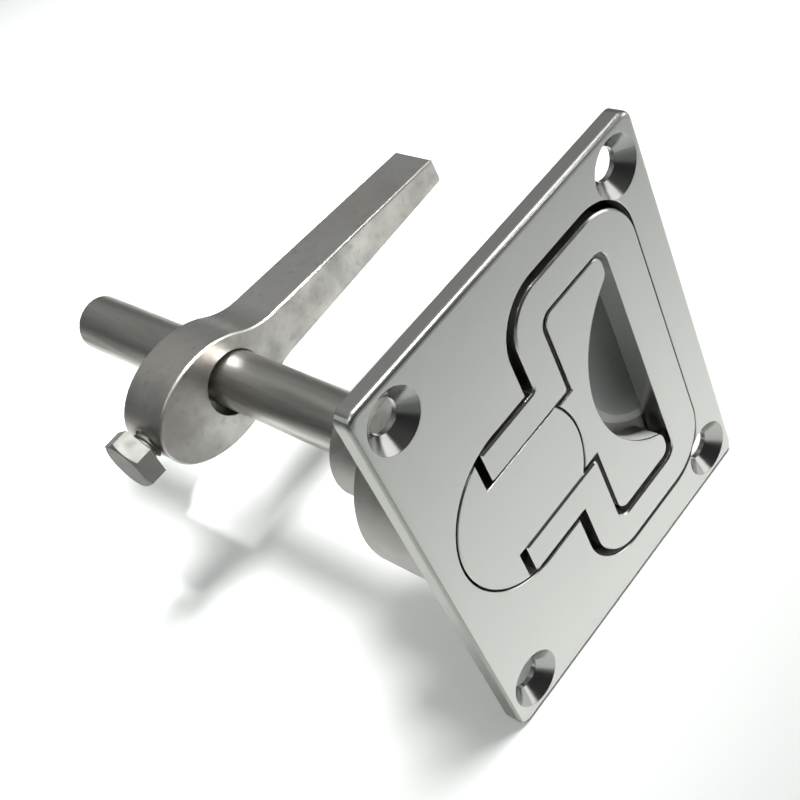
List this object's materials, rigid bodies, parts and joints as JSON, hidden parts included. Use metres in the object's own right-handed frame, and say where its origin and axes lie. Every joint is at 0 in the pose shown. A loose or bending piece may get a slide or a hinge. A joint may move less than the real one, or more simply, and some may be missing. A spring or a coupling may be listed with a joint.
{
  "type": "hatch latch",
  "caption": "Flush turning latch for a boat hatch: a lift handle folds flat in a polished square plate, and a long spindle behind it carries an adjustable cam lever with a clamp screw",
  "frame": {"origin": "middle of the plate's mounting face, which is the centre of its four screw holes", "axes": "+Y runs back along the spindle, away from the deck face, +X from the handle's hinge to its grip, and +Z along the plate's long side, up in the stored pose"},
  "size_m": [0.0843, 0.112, 0.076],
  "materials": {
    "polished_steel": "polished stainless casting, as cast on the back",
    "cast_steel": "blasted and lightly tumbled stainless casting",
    "turned_steel": "turned and polished stainless bar",
    "screw_steel": "bright cold-formed stainless",
    "spring_steel": "stamped stainless spring strip",
    "bearing_plastic": "natural acetal washer",
    "seal_rubber": "black nitrile"
  },
  "bodies": {
    "plate": {"base_plate": "polished_steel", "rotor": "polished_steel", "rotor_washer": "bearing_plastic", "hinge_pin": "turned_steel"},
    "handle": {"handle": "polished_steel"},
    "spindle": {"spindle": "turned_steel", "shaft_seal": "seal_rubber", "keeper_washer": "bearing_plastic", "retaining_ring": "spring_steel"},
    "lever": {"cam_lever": "cast_steel"},
    "screw": {"lever_screw": "screw_steel"}
  },
  "joints": [
    {"name": "handle_fold", "type": "hinge", "parent": "plate", "child": "handle", "pos_m": [-0.0131, -0.0006, 0], "axis": [0, 0, -1], "range_deg": [0, 95]},
    {"name": "spindle_turn", "type": "hinge", "parent": "plate", "child": "spindle", "pos_m": [-0.0131, 0, 0], "axis": [0, 1, 0], "range_deg": [-90, 90]},
    {"name": "lever_slide", "type": "slide", "parent": "spindle", "child": "lever", "axis": [0, 1, 0], "range_m": [-0.032, 0.032]},
    {"name": "screw_travel", "type": "slide", "parent": "lever", "child": "screw", "axis": [-1, 0, 0], "range_m": [0, 0.003]}
  ]
}
